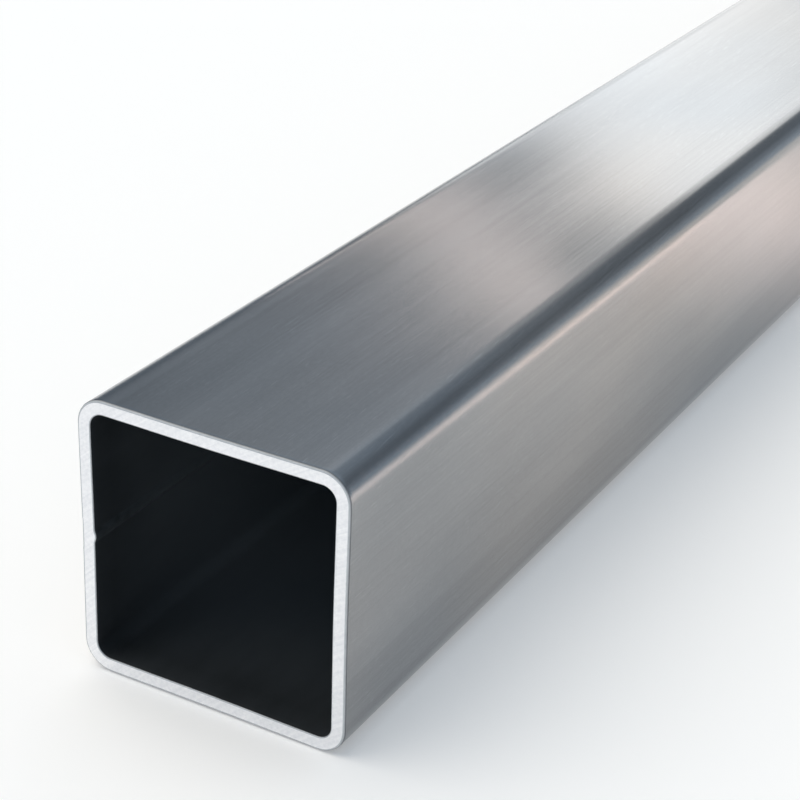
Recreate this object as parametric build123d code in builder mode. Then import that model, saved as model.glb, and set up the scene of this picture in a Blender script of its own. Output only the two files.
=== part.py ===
from build123d import *
import os

# Square steel tube: one cut length of cold-formed hollow section, welded along one wall.
# It lies along X with +Z up. The origin is under its middle, on the surface that it rests on.
# Every size is in millimetres.

# The section, by the sizes that such tube is ordered by
width = 40.0
height = 40.0
wall = 2.0
inside_corner_radius = 2.0

# The cut length
length = 1000.0

# The weld bead that stands inside, where the edges of the bent strip were joined
bead_width = 1.8
bead_height = 0.5
bead_toe_radius = 0.25

# The bevels that deburring leaves on the sawn ends
outside_edge_break = 0.3
inside_edge_break = 0.15

# The strip keeps its thickness in the bends, so both radii of a corner share one centre
outside_corner_radius = inside_corner_radius + wall
hollow_width = width - 2 * wall
hollow_height = height - 2 * wall

# The seam runs along the middle of the +Y wall, and the bead's root lies halfway into that wall
seam_y = hollow_width / 2
seam_z = height / 2
bead_root_y = seam_y + wall / 2

# In the sketch of the section, x is the tube's Y and y is its Z
near_end = Plane.YZ.offset(-length / 2)

with BuildPart() as square_tube:
    with BuildSketch(near_end) as section:
        with Locations((0, height / 2)):
            RectangleRounded(width, height, outside_corner_radius)
            RectangleRounded(hollow_width, hollow_height, inside_corner_radius, mode=Mode.SUBTRACT)

        with BuildLine() as bead:
            crown = ThreePointArc(
                (seam_y, seam_z - bead_width / 2),
                (seam_y - bead_height, seam_z),
                (seam_y, seam_z + bead_width / 2),
            )
            Polyline(
                crown @ 1,
                (bead_root_y, seam_z + bead_width / 2),
                (bead_root_y, seam_z - bead_width / 2),
                crown @ 0,
            )
        make_face()

        # The weld runs out smoothly into the wall on both sides of its crown
        bead_toes = section.vertices().sort_by_distance((seam_y, seam_z))[:2]
        fillet(bead_toes, bead_toe_radius)
    extrude(amount=length)

    # Both sawn ends are deburred, all round the outside and, more lightly, round the hollow
    for end in (0, -1):
        sawn_outside = square_tube.faces().sort_by(Axis.X)[end].outer_wire()
        chamfer(sawn_outside.edges(), outside_edge_break)
        sawn_inside = square_tube.faces().sort_by(Axis.X)[end].inner_wires()[0]
        chamfer(sawn_inside.edges(), inside_edge_break)

square_tube.part.label = "square_tube"
os.makedirs("parts", exist_ok=True)
export_step(square_tube.part, "parts/square_tube.step")
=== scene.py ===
import bmesh
import bpy
import math
from mathutils import Matrix, Vector, noise


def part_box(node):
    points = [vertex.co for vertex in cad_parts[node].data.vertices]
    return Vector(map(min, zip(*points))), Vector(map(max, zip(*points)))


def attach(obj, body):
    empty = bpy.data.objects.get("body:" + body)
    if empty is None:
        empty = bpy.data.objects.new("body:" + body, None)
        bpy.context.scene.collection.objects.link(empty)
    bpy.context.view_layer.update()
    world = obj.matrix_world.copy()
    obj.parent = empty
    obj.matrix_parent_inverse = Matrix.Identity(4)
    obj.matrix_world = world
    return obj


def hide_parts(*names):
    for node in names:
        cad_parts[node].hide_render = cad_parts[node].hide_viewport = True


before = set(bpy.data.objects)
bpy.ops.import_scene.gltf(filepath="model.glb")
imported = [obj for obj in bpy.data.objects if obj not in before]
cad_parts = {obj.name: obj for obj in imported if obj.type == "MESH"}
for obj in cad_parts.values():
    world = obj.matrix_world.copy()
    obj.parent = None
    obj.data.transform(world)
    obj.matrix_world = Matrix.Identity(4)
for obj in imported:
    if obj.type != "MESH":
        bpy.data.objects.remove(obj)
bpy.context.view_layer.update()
mm = 0.001

# The tube's box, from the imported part
tubeLow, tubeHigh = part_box("square_tube")
tubeLength = tubeHigh.x - tubeLow.x
tubeWidth = tubeHigh.y - tubeLow.y
tubeHeight = tubeHigh.z - tubeLow.z
middleHeight = (tubeHigh.z + tubeLow.z) / 2


def linear(hexText):
    # sRGB hex to a linear colour with alpha 1
    channels = [int(hexText[i:i + 2], 16) / 255 for i in (1, 3, 5)]
    return [c / 12.92 if c <= 0.04045 else ((c + 0.055) / 1.055) ** 2.4 for c in channels] + [1.0]


def addNode(tree, kind, inputs={}, output=None, **settings):
    # an input, by name or number, takes a value or an earlier node's output;
    # gives back the output of the given name, or else the first one in use
    node = tree.nodes.new(kind)
    for name, value in settings.items():
        setattr(node, name, value)
    for name, value in inputs.items():
        if isinstance(value, bpy.types.NodeSocket):
            tree.links.new(value, node.inputs[name])
        else:
            node.inputs[name].default_value = value
    return node.outputs[output] if output else next((o for o in node.outputs if o.enabled), None)


def calculate(tree, operation, *values):
    return addNode(tree, "ShaderNodeMath", dict(enumerate(values)), operation=operation)


def onAxis(tree, place, axis):
    return addNode(tree, "ShaderNodeSeparateXYZ", {"Vector": place}, output=axis)


def fade(tree, value, start, stop, low=0.0, high=1.0, interpolation="LINEAR"):
    # low at start, high at stop, and level beyond both
    limits = {"From Min": start, "From Max": stop, "To Min": low, "To Max": high}
    return addNode(tree, "ShaderNodeMapRange", {"Value": value, **limits}, interpolation_type=interpolation)


def mixed(tree, share, first, second):
    # share is that of the second colour
    return addNode(tree, "ShaderNodeMix", {"Factor": share, "A": first, "B": second}, data_type="RGBA")


def blotches(tree, place, sizes, detail, seed=None, roughness=0.5):
    # noise with blotches of these sizes in mm along X, Y and Z; the seed is the fourth coordinate
    spot = addNode(tree, "ShaderNodeMapping", {"Vector": place, "Scale": [1 / (size * mm) for size in sizes]})
    inputs = {"Vector": spot, "Scale": 1.0, "Detail": detail, "Roughness": roughness}
    if seed is None:
        return addNode(tree, "ShaderNodeTexNoise", inputs)
    return addNode(tree, "ShaderNodeTexNoise", {**inputs, "W": seed}, noise_dimensions="4D")


def newMaterial(name):
    material = bpy.data.materials.new(name)
    material.use_nodes = True
    material.node_tree.nodes.clear()
    return material, material.node_tree


def addSurface(tree, relief, depth, inputs):
    # relief is an output that is 1 on top and 0 at "depth" mm below
    normal = addNode(tree, "ShaderNodeBump", {"Height": relief, "Strength": 1.0, "Distance": depth * mm})
    shader = addNode(tree, "ShaderNodeBsdfPrincipled", {**inputs, "Normal": normal})
    addNode(tree, "ShaderNodeOutputMaterial", {"Surface": shader})


def inFromEnds(tree, place, start, stop):
    # 0 at "start" mm in from either end of the tube, and 1 from "stop" mm on
    fromMiddle = calculate(tree, "ABSOLUTE", onAxis(tree, place, "X"))
    return fade(tree, fromMiddle, tubeLength / 2 - start * mm, tubeLength / 2 - stop * mm)


# Cold-rolled strip steel, bare and lightly oiled: a grey mirror, drawn out sideways by the rolling lines.
# The real lines are about 0.05 mm apart. They are drawn at 0.3 mm, to show.
# A pattern is its blotch sizes along X, Y and Z in mm, its detail and its seed.
steel = {
    # dark and light tones, bluish and browner, in wide soft patches like dried oil; the seeds of "patches"
    # and "clouds" are picked so that their cool, warm, dark and light places follow the tints and brightness
    # of the reflections: partly painted reflection
    "cool": ("#84878a", "#9a9da0"), "warm": ("#938f8b", "#ada8a4"),
    "patches": ((75, 40, 40), 1.0, 10008), "patchRange": (0.31, 0.70),
    "tones": {"lines": ((120, 0.3, 0.3), 3.0, 1), "bands": ((650, 3.4, 3.4), 2.0, 2),
              "clouds": ((42, 16, 16), 3.0, 11834), "grain": ((0.8, 0.5, 0.5), 2.0, 3)},
    "shares": {"lines": 0.22, "bands": 0.24, "clouds": 0.44, "grain": 0.16}, "toneRange": (0.37, 0.69),
    "roughness": (0.155, 0.20), "anisotropy": 0.88, "lineDepth": 0.003,
    # handling scratches: thin, short, and a few degrees off the length
    "scratches": ((48, 0.13, 0.13), 0.0), "scratchTurn": (2, 3, -3), "scratchRange": (0.74, 0.80),
    "scratchLight": 0.2, "scratchColour": "#c8cacc",
}

# Over the weld, outside, the skin was planed off in a strip, and the heat has blued it on both sides.
# In mm, "half" is half the width, "soft" the run-out at its edge, "wander" how far both sway, and "depth" how
# far in from the wall's outside they are painted.
seam = {"tint": {"colour": "#6e7686", "half": 4.6, "soft": 2.2, "strength": 0.5},
        "strip": {"colour": "#b3b5b8", "half": 2.2, "soft": 0.25, "strength": 0.8},
        "wander": 0.9, "depth": 0.5}


def coldRolledSteel():
    material, tree = newMaterial("cold_rolled_steel")
    place = addNode(tree, "ShaderNodeTexCoord", output="Object")
    patterns = {name: blotches(tree, place, *pattern) for name, pattern in steel["tones"].items()}
    tone = 0.0
    for name, share in steel["shares"].items():
        tone = calculate(tree, "MULTIPLY_ADD", patterns[name], share, tone)
    tone = fade(tree, tone, *steel["toneRange"])
    cool, warm = (mixed(tree, tone, linear(dark), linear(light))
                  for dark, light in (steel["cool"], steel["warm"]))
    # bluish and browner patches, placed by their seed as partly painted reflection tint
    patches = fade(tree, blotches(tree, place, *steel["patches"]), *steel["patchRange"])
    colour = mixed(tree, patches, cool, warm)

    turn = [math.radians(angle) for angle in steel["scratchTurn"]]
    turned = addNode(tree, "ShaderNodeMapping", {"Vector": place, "Rotation": turn})
    scratches = fade(tree, blotches(tree, turned, *steel["scratches"]), *steel["scratchRange"],
                     high=steel["scratchLight"])
    colour = mixed(tree, scratches, colour, linear(steel["scratchColour"]))

    onSeam = calculate(tree, "GREATER_THAN", onAxis(tree, place, "Y"), tubeHigh.y - seam["depth"] * mm)
    height = calculate(tree, "SUBTRACT", onAxis(tree, place, "Z"), middleHeight)
    wander = seam["wander"] * mm
    wander = calculate(tree, "MULTIPLY_ADD", patterns["clouds"], wander, -wander / 2)
    away = calculate(tree, "ABSOLUTE", calculate(tree, "ADD", height, wander))
    for mark in (seam["tint"], seam["strip"]):
        reach = fade(tree, away, mark["half"] * mm, (mark["half"] - mark["soft"]) * mm, high=mark["strength"],
                     interpolation="SMOOTHSTEP")
        reach = calculate(tree, "MULTIPLY", reach, onSeam)
        colour = mixed(tree, reach, colour, linear(mark["colour"]))

    roughness = fade(tree, tone, 0, 1, *steel["roughness"])
    across = addNode(tree, "ShaderNodeTangent", direction_type="RADIAL", axis="X")
    addSurface(tree, patterns["lines"], steel["lineDepth"],
               {"Base Color": colour, "Metallic": 1.0, "Roughness": roughness,
                "Anisotropic": steel["anisotropy"], "Tangent": across})
    return material


# Saw-cut steel: fresh metal, white and matt, because the blade's fine marks scatter the light.
# The marks are arcs of the blade's rim. Real ones are about 0.2 mm apart, and are drawn at 0.35 mm.
# "endsApart" is the pattern's size along the tube in mm, so that the two ends differ.
sawn = {"dark": "#eaebee", "light": "#fcfcfd", "toneRange": (0.35, 0.65), "roughness": 0.48,
        "bladeRadius": 175.0, "markSlope": 38.0, "markPitch": 0.35, "markDetail": 3.0, "markRoughness": 0.7,
        "markDepth": 0.006, "endsApart": 40, "speckSize": 0.5, "speckDetail": 2.0, "speckShare": 0.4}


def sawCutSteel():
    material, tree = newMaterial("saw_cut_steel")
    place = addNode(tree, "ShaderNodeTexCoord", output="Object")
    # the blade's centre, far off to one side: marks of equal distance from it are slight arcs
    slope, radius = math.radians(sawn["markSlope"]), sawn["bladeRadius"] * mm
    centre = (0, -math.sin(slope) * radius, middleHeight - math.cos(slope) * radius)
    fromCentre = addNode(tree, "ShaderNodeVectorMath", {0: place, 1: centre}, operation="SUBTRACT")
    fromCentre = addNode(tree, "ShaderNodeVectorMath", {0: fromCentre, 1: (0, 1, 1)}, operation="MULTIPLY")
    distance = addNode(tree, "ShaderNodeVectorMath", {0: fromCentre}, operation="LENGTH")
    arcs = addNode(tree, "ShaderNodeCombineXYZ", {"X": distance, "Y": 0.0, "Z": onAxis(tree, place, "X")})
    marks = blotches(tree, arcs, (sawn["markPitch"], 1, sawn["endsApart"]), sawn["markDetail"],
                     roughness=sawn["markRoughness"])
    specks = blotches(tree, place, [sawn["speckSize"]] * 3, sawn["speckDetail"])
    tone = addNode(tree, "ShaderNodeMix", {"Factor": sawn["speckShare"], "A": marks, "B": specks})
    tone = fade(tree, tone, *sawn["toneRange"])
    colour = mixed(tree, tone, linear(sawn["dark"]), linear(sawn["light"]))
    addSurface(tree, marks, sawn["markDepth"],
               {"Base Color": colour, "Metallic": 1.0, "Roughness": sawn["roughness"]})
    return material


# Filed steel: the narrow rounded edges where the burr was taken off, running from the cut's bright metal
# to the skin rolled over the edge, painted darker than the skin as painted shade, between the "From" and "To"
# mm in
filed = {"dark": "#b8bbbe", "light": "#d3d6d9", "rolledEdgeShade": "#6c6f72", "rolledEdgeShadeFrom": 0.04, "rolledEdgeShadeTo": 0.24,
         "roughness": 0.62, "speckSize": 1.1, "speckDetail": 3.0, "speckDepth": 0.003}


def filedSteel():
    material, tree = newMaterial("filed_steel")
    place = addNode(tree, "ShaderNodeTexCoord", output="Object")
    specks = blotches(tree, place, [filed["speckSize"]] * 3, filed["speckDetail"])
    colour = mixed(tree, specks, linear(filed["dark"]), linear(filed["light"]))
    # the outermost edge goes to a grey darker than the skin's: the rolled-over skin, with painted shade
    rolledEdgeShade = inFromEnds(tree, place, filed["rolledEdgeShadeFrom"], filed["rolledEdgeShadeTo"])
    colour = mixed(tree, rolledEdgeShade, colour, linear(filed["rolledEdgeShade"]))
    addSurface(tree, specks, filed["speckDepth"],
               {"Base Color": colour, "Metallic": 1.0, "Roughness": filed["roughness"]})
    return material


# Oxide and dried rolling oil: the unwashed inside, nearly black
inside = {"dark": "#1f2326", "light": "#2c3033", "toneRange": (0.3, 0.7), "roughness": 0.5,
          "patchSize": (14, 5, 5), "patchDetail": 5.0, "patchRoughness": 0.6, "patchDepth": 0.03}

# Weld metal: the squeezed-out bead, scaled over like the walls, with the ripples that the rolls left
weld = {"dark": "#1f2326", "light": "#363b3e", "toneRange": (0.3, 0.7), "roughness": 0.5,
        "patchSize": (1.4, 0.9, 0.9), "patchDetail": 4.0, "patchRoughness": 0.5, "patchDepth": 0.04}

# Both are painted lighter further in, greyer from "start" to "stop" mm in: painted light that makes up for
# the light that does not reach deep into the tube, so they are darkest near the mouths
paintedDeepLight = {"colour": "#767e84", "start": 4.0, "stop": 60.0}


def scaledOver(name, look):
    material, tree = newMaterial(name)
    place = addNode(tree, "ShaderNodeTexCoord", output="Object")
    patches = blotches(tree, place, look["patchSize"], look["patchDetail"], roughness=look["patchRoughness"])
    tone = fade(tree, patches, *look["toneRange"])
    colour = mixed(tree, tone, linear(look["dark"]), linear(look["light"]))
    # painted light: greyer further in from the mouths, where less light reaches
    depth = inFromEnds(tree, place, paintedDeepLight["start"], paintedDeepLight["stop"])
    colour = mixed(tree, depth, colour, linear(paintedDeepLight["colour"]))
    addSurface(tree, patches, look["patchDepth"], {"Base Color": colour, "Roughness": look["roughness"]})
    return material


# The tube, in millimetres. An unevenness along it has an amount, the length of one swell and a row of noise.
tube = {
    "wall": 2.0, "outerCorner": 4.0,
    # the mesh: its lines along the flats and its rings, closer over the last "endZone" at both ends
    "cornerSegments": 14, "flatCuts": 9, "cornerMargin": 0.4,
    "ringPitch": 5.0, "endZone": 20.0, "endPitch": 1.0,
    # the broken edges, and the rows across the sawn ring
    "outerEdge": 0.3, "innerEdge": 0.15, "edgeSegments": 3, "faceRows": 4, "sharpAngle": 35,
    # how far the rolls leave the flats hollow, and the shallow waves that show in the reflections
    "sink": 0.10, "sinkSpread": 0.4, "sinkLength": 170.0, "wave": 0.012, "waveLength": 30.0,
    # the planed strip over the weld, outside
    "stripWidth": 4.6, "stripDepth": 0.05, "stripStep": 0.3, "stripWander": (0.3, 90.0, 11.5),
    # the bead: rolled down to about the share "beadCrown" of its height, unevenly, and filed at the ends to
    # the share "beadFiled" of that, which reaches "beadFiledTo" in
    "beadWidth": 1.8, "beadHeight": 0.5, "beadCuts": 6, "beadMargin": 0.5, "beadWander": (0.12, 60.0, 2.5),
    "beadCrown": 0.62, "beadLumps": ((0.14, 21.0, 5.5), (0.10, 4.5, 9.5)), "beadPower": 1.2,
    "beadFiled": 0.7, "beadFiledTo": 2.5,
    # a face that looks along X by more than these shares is sawn, or filed
    "sawnFacing": 0.98, "filedFacing": 0.12,
}
finishes = {"skin": coldRolledSteel(), "sawn": sawCutSteel(), "inside": scaledOver("oiled_oxide", inside),
            "filed": filedSteel(), "weld": scaledOver("weld_metal", weld)}
halfWidth, halfHeight = tubeWidth / 2, tubeHeight / 2
squarely = 0.999     # a face looks along an axis if its normal has this share on it
cutSnap = 1e-7       # metres within which a cut takes a vertex as its own
endSnap = 1e-6       # and within which a vertex is at the tube's end


def isLong(edge):
    # along the tube
    step = edge.verts[0].co - edge.verts[1].co
    return abs(step.x) > abs(step.y) + abs(step.z)


def cutAcross(bm, point, normal, faces):
    geometry = list(dict.fromkeys(item for face in faces for item in (face, *face.edges, *face.verts)))
    bmesh.ops.bisect_plane(bm, geom=geometry, plane_co=point, plane_no=normal, dist=cutSnap)


def smoothStep(value):
    value = min(max(value, 0.0), 1.0)
    return value * value * (3 - 2 * value)


def swell(x, amount, length, row):
    return amount * noise.noise(Vector((x / (length * mm), row, 0)))


def makeTube():
    bm = bmesh.new()
    bmesh.ops.create_cube(bm, size=1.0)
    bmesh.ops.scale(bm, vec=(tubeLength, tubeWidth, tubeHeight), verts=bm.verts)
    bmesh.ops.translate(bm, vec=(0, 0, halfHeight), verts=bm.verts)
    bmesh.ops.delete(bm, geom=[f for f in bm.faces if abs(f.normal.x) > squarely], context="FACES_ONLY")
    bmesh.ops.bevel(bm, geom=[e for e in bm.edges if isLong(e)], offset=tube["outerCorner"] * mm,
                    offset_type="OFFSET", affect="EDGES", segments=tube["cornerSegments"], profile=0.5,
                    material=-1)

    # lines along the flats: close to the corners, evenly between, and closely over the weld
    margin = (tube["outerCorner"] + tube["cornerMargin"]) * mm
    middle = Vector((0, 0, halfHeight))
    for step in range(tube["flatCuts"]):
        share = 2 * step / (tube["flatCuts"] - 1) - 1
        flats = [f for f in bm.faces if abs(f.normal.z) > squarely]
        cutAcross(bm, middle + Vector((0, share * (halfWidth - margin), 0)), (0, 1, 0), flats)
        flats = [f for f in bm.faces if abs(f.normal.y) > squarely]
        cutAcross(bm, middle + Vector((0, 0, share * (halfHeight - margin))), (0, 0, 1), flats)
    seamLines = [step / tube["beadCuts"] * (tube["beadWidth"] / 2 + tube["beadMargin"])
                 for step in range(-tube["beadCuts"], tube["beadCuts"] + 1)]
    seamLines += [side * (tube["stripWidth"] / 2 + out)
                  for side in (-1, 1) for out in (-tube["stripStep"], 0)]
    for line in seamLines:
        flats = [f for f in bm.faces if f.normal.y > squarely]
        cutAcross(bm, middle + Vector((0, 0, line * mm)), (0, 0, 1), flats)

    # rings round the tube, closer near both ends
    for end in (-1, 1):
        start = Vector((end * (tubeLength / 2 - tube["endZone"] * mm), 0, 0))
        cutAcross(bm, start, (1, 0, 0), list(bm.faces))
    longEdges = [e for e in bm.edges if isLong(e)]
    for edges, pitch in (([e for e in longEdges if e.calc_length() > tubeLength / 2], tube["ringPitch"]),
                         ([e for e in longEdges if e.calc_length() < tubeLength / 2], tube["endPitch"])):
        cuts = round(edges[0].calc_length() / (pitch * mm)) - 1
        bmesh.ops.subdivide_edges(bm, edges=edges, cuts=cuts, use_grid_fill=True)

    # the wall
    bmesh.ops.recalc_face_normals(bm, faces=bm.faces)
    outside = set(bm.verts)
    bmesh.ops.solidify(bm, geom=bm.faces[:], thickness=tube["wall"] * mm)
    bm.normal_update()
    return bm, outside


def shapeWalls(bm, outside):
    # the flats sink a little, the weld stands up inside, and a strip is planed off over it outside
    skin = (tube["wall"] + tube["outerCorner"]) * mm / 2
    flatY, flatZ = halfWidth - tube["outerCorner"] * mm, halfHeight - tube["outerCorner"] * mm
    for vert in bm.verts:
        x, y, z = vert.co.x, vert.co.y, vert.co.z - halfHeight
        onSide = abs(y) > halfWidth - skin and abs(z) < flatZ
        onTop = abs(z) > halfHeight - skin and abs(y) < flatY
        if not (onSide or onTop):
            continue
        share = z / flatZ if onSide else y / flatY
        # the last two numbers give each of the four walls noise of its own
        depth = noise.noise(Vector((x / (tube["sinkLength"] * mm), 3 * math.copysign(1, y if onSide else z),
                                    7 if onSide else 0)))
        wave = noise.noise(vert.co / (tube["waveLength"] * mm))
        sink = tube["sink"] * (1 + tube["sinkSpread"] * depth) + tube["wave"] * wave
        sink *= mm * (1 - share * share) ** 2
        if onTop:
            vert.co.z -= math.copysign(sink, z)
            continue
        vert.co.y -= math.copysign(sink, y)
        if y < 0:
            continue
        if vert in outside:
            reach = abs(z / mm - swell(x, *tube["stripWander"]))
            depth = smoothStep((tube["stripWidth"] / 2 - reach) / tube["stripStep"])
            vert.co.y -= depth * tube["stripDepth"] * mm
        else:
            reach = abs(z / mm - swell(x, *tube["beadWander"])) / (tube["beadWidth"] / 2)
            lump = sum((swell(x, *lumps) for lumps in tube["beadLumps"]), tube["beadCrown"])
            crown = math.cos(math.pi / 2 * min(reach, 1.0)) ** tube["beadPower"]
            fromEnd = tubeLength / 2 - abs(x)
            left = tube["beadFiled"]
            left += (1 - left) * smoothStep(fromEnd / (tube["beadFiledTo"] * mm))
            vert.co.y -= tube["beadHeight"] * mm * min(lump, 1.0) * crown * left


def finishEnds(bm, outside):
    def atEnd(vert):
        return abs(abs(vert.co.x) - tubeLength / 2) < endSnap
    endEdges = [e for e in bm.edges if all(atEnd(v) for v in e.verts)]
    outerRim = [e for e in endEdges if all(v in outside for v in e.verts)]
    innerRim = [e for e in endEdges if not any(v in outside for v in e.verts)]
    across = [e for e in endEdges if (e.verts[0] in outside) != (e.verts[1] in outside)]
    bmesh.ops.subdivide_edges(bm, edges=across, cuts=tube["faceRows"], use_grid_fill=True)
    for rim, size in ((outerRim, tube["outerEdge"]), (innerRim, tube["innerEdge"])):
        bmesh.ops.bevel(bm, geom=rim, offset=size * mm, offset_type="OFFSET", affect="EDGES",
                        segments=tube["edgeSegments"], profile=0.5, material=-1)
    bm.normal_update()


def finishOf(face):
    centre = face.calc_center_median()
    y, z = centre.y, centre.z - halfHeight
    if abs(face.normal.x) > tube["sawnFacing"]:
        return "sawn"
    if abs(face.normal.x) > tube["filedFacing"]:
        return "filed"
    if face.normal.y * y + face.normal.z * z > 0:
        return "skin"
    onWeldedWall = y > halfWidth - (tube["wall"] + 2 * tube["beadHeight"]) * mm
    return "weld" if onWeldedWall and abs(z) < tube["beadWidth"] / 2 * mm else "inside"


bm, outside = makeTube()
shapeWalls(bm, outside)
finishEnds(bm, outside)
for face in bm.faces:
    face.smooth = True
    face.material_index = list(finishes).index(finishOf(face))
tubeMesh = bpy.data.meshes.new("tube_body")
bm.to_mesh(tubeMesh)
bm.free()
for material in finishes.values():
    tubeMesh.materials.append(material)
tubeMesh.set_sharp_from_angle(angle=math.radians(tube["sharpAngle"]))
tubeBody = bpy.data.objects.new("tube_body", tubeMesh)
bpy.context.scene.collection.objects.link(tubeBody)
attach(tubeBody, "root")
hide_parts("square_tube")
tubeMesh.calc_loop_triangles()
print("tube:", len(tubeMesh.loop_triangles), "triangles")


# Floor: plain white, and drawn at full white where a camera or a reflection sees it, less the tube's shadow
floorLook = {"colour": "#e8e7e5", "lift": 0.22, "radius": 20.0, "segments": 96, "gap": 0.0001}


def studioFloor():
    material, tree = newMaterial("white_floor")
    camera, glossy, through = (addNode(tree, "ShaderNodeLightPath", output=f"Is {kind} Ray")
                               for kind in ("Camera", "Glossy", "Transmission"))
    seen = calculate(tree, "MAXIMUM", calculate(tree, "MAXIMUM", camera, glossy), through)
    lift = calculate(tree, "MULTIPLY", seen, floorLook["lift"])
    glow = addNode(tree, "ShaderNodeEmission", {"Color": linear("#ffffff"), "Strength": lift})
    paint = addNode(tree, "ShaderNodeBsdfDiffuse", {"Color": linear(floorLook["colour"])})
    both = addNode(tree, "ShaderNodeAddShader", {0: paint, 1: glow})
    addNode(tree, "ShaderNodeOutputMaterial", {"Surface": both})
    return material


bm = bmesh.new()
bmesh.ops.create_circle(bm, cap_ends=True, radius=floorLook["radius"], segments=floorLook["segments"])
bmesh.ops.translate(bm, vec=(0, 0, -floorLook["gap"]), verts=bm.verts)
floorMesh = bpy.data.meshes.new("floor")
bm.to_mesh(floorMesh)
bm.free()
floorMesh.materials.append(studioFloor())
floor = bpy.data.objects.new("floor", floorMesh)
bpy.context.scene.collection.objects.link(floor)
print("floor: done")

# Lamps and world. Directions are azimuth from +X towards +Y, and elevation, in degrees.
# Panels stand at "distance" from the point "aim" on the tube, or at "place". They shine back the other way.
# The two low ones light the floor beside the tube, for what its side wall reflects.
key = {"azimuth": 100, "elevation": 61.7, "place": (0, 0, 3), "spread": 65, "power": 1.64,
       "colour": (1.1, 1.0, 0.87)}
panels = {
    "endSoftbox": {"azimuth": 16.2, "elevation": 10.6, "roll": 60.3, "distance": 2.2,
                   "size": (0.964, 1.323), "radiance": 1.19, "colour": (1.0, 1.0, 0.98)},
    "endStrip": {"azimuth": 31.46, "elevation": 21.05, "roll": -32.4, "distance": 2.2,
                 "size": (0.664, 0.050), "radiance": 2.14, "colour": (1.13, 1.0, 0.95)},
    "frontFill": {"azimuth": -150, "elevation": 30, "distance": 2.2,
                  "size": (1.0, 0.7), "radiance": 1.1, "colour": (1.0, 1.0, 1.0)},
    "lowWide": {"azimuth": -64.4, "elevation": 82.3, "place": (-0.445, -0.37, 0.129), "grid": 65.2,
                "size": (0.601, 0.123), "radiance": 12.16, "colour": (1.23, 1.0, 0.96)},
    "lowSpot": {"azimuth": -137.1, "elevation": 85.5, "place": (-0.336, -0.124, 0.114), "grid": 41.0,
                "size": (0.090, 0.195), "radiance": 21.74, "colour": (1.28, 1.0, 0.93)},
}
aim = Vector((-0.36, 0, 0.04))


def turnTo(look):
    # turns +Z to the direction, with a roll about it
    return (Matrix.Rotation(math.radians(look["azimuth"]), 4, "Z")
            @ Matrix.Rotation(math.radians(90 - look["elevation"]), 4, "Y")
            @ Matrix.Rotation(math.radians(90 + look.get("roll", 0)), 4, "Z"))


def direction(look):
    return turnTo(look) @ Vector((0, 0, 1))


def addLamp(name, kind, place, look):
    lamp = bpy.data.lights.new(name, kind)
    lamp.color = look["colour"]
    holder = bpy.data.objects.new(name, lamp)
    holder.matrix_world = Matrix.Translation(place) @ turnTo(look)
    holder.visible_camera = False
    bpy.context.scene.collection.objects.link(holder)
    return lamp


lamp = addLamp("key", "SUN", key["place"], key)
lamp.energy = key["power"]
lamp.angle = math.radians(key["spread"])
for name, look in panels.items():
    place = look["place"] if "place" in look else aim + direction(look) * look["distance"]
    lamp = addLamp(name, "AREA", place, look)
    lamp.shape = "RECTANGLE"
    lamp.size, lamp.size_y = look["size"]
    # an area lamp of P watts and area A has a radiance of P / (A pi), and more along its axis behind a grid
    lamp.energy = look["radiance"] * math.pi * look["size"][0] * look["size"][1]
    if "grid" in look:
        halfAngle = math.radians(look["grid"] / 2)
        lamp.spread = 2 * halfAngle
        lamp.energy *= 1 - halfAngle / math.tan(halfAngle)
print("lamps: done")

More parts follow.
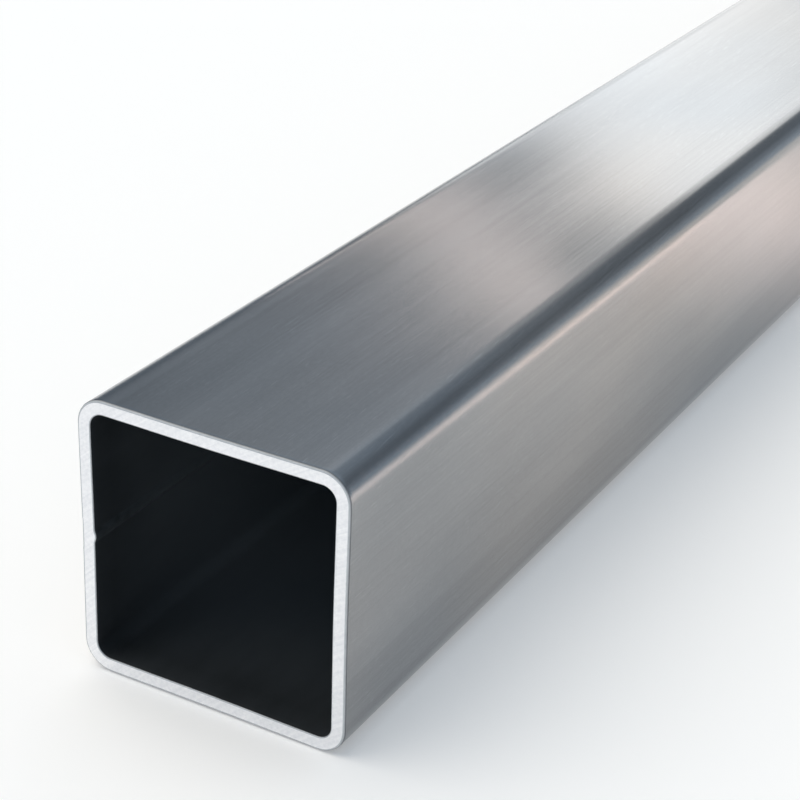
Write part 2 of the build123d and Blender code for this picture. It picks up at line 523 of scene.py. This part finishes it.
# World: a plain dim room, cool in tone, darker beyond the far end, with two faint glows round the softbox.
# A ramp is an axis of the direction, and where on it the next level starts to come in and is reached.
# A glow's "edge" is the cosine of the angle that it reaches to.
room = {"tint": (0.84, 1.0, 1.18), "plain": 0.477, "darkLow": 0.63, "darkLowLeft": 0.26, "darkMid": 0.246,
        "darkHigh": 0.59}
ramps = {"far": ("X", 0.15, 0.55), "low": ("Z", 0.0, 0.42), "high": ("Z", 0.42, 0.80),
         "left": ("Y", -0.1, 0.3)}
glows = [{"azimuth": 21.6, "elevation": 32.8, "edge": 0.9535, "level": 0.37},
         {"azimuth": 22.3, "elevation": 17.7, "edge": 0.9954, "level": 0.9}]


def tinted(level):
    return [level * part for part in room["tint"]] + [1.0]


world = bpy.data.worlds.new("room")
bpy.context.scene.world = world
world.use_nodes = True
tree = world.node_tree
tree.nodes.clear()
place = addNode(tree, "ShaderNodeTexCoord", output="Generated")
far, low, high, left = (fade(tree, onAxis(tree, place, axis), start, stop, interpolation="SMOOTHSTEP")
                        for axis, start, stop in ramps.values())
dark = mixed(tree, left, tinted(room["darkLow"]), tinted(room["darkLowLeft"]))
dark = mixed(tree, low, dark, tinted(room["darkMid"]))
dark = mixed(tree, high, dark, tinted(room["darkHigh"]))
whole = mixed(tree, far, tinted(room["plain"]), dark)
for look in glows:
    facing = addNode(tree, "ShaderNodeVectorMath", {0: place, 1: direction(look)}, operation="DOT_PRODUCT")
    glow = fade(tree, facing, look["edge"], 1.0, high=look["level"], interpolation="SMOOTHSTEP")
    whole = addNode(tree, "ShaderNodeMix", {"Factor": 1.0, "A": whole, "B": glow}, data_type="RGBA",
                    blend_type="ADD")
light = addNode(tree, "ShaderNodeBackground", {"Color": whole})
addNode(tree, "ShaderNodeOutputWorld", {"Surface": light})
print("world: done")

# Camera: where the photograph was taken from, found by fitting the tube's edges
view = {"place": (-0.684712, -0.127300, 0.158408), "azimuth": -61.2596, "elevation": 26.7885, "roll": 2.2353,
        "lens": 94.46, "nearClip": 0.01}
lens = bpy.data.cameras.new("camera")
lens.lens = view["lens"]
lens.clip_start = view["nearClip"]
camera = bpy.data.objects.new("camera", lens)
camera.matrix_world = (Matrix.Translation(view["place"])
                       @ Matrix.Rotation(math.radians(view["azimuth"]), 4, "Z")
                       @ Matrix.Rotation(math.radians(90 - view["elevation"]), 4, "X")
                       @ Matrix.Rotation(math.radians(view["roll"]), 4, "Z"))
bpy.context.scene.collection.objects.link(camera)
bpy.context.scene.camera = camera
bpy.context.scene.view_settings.view_transform = "Standard"
print("camera: done")
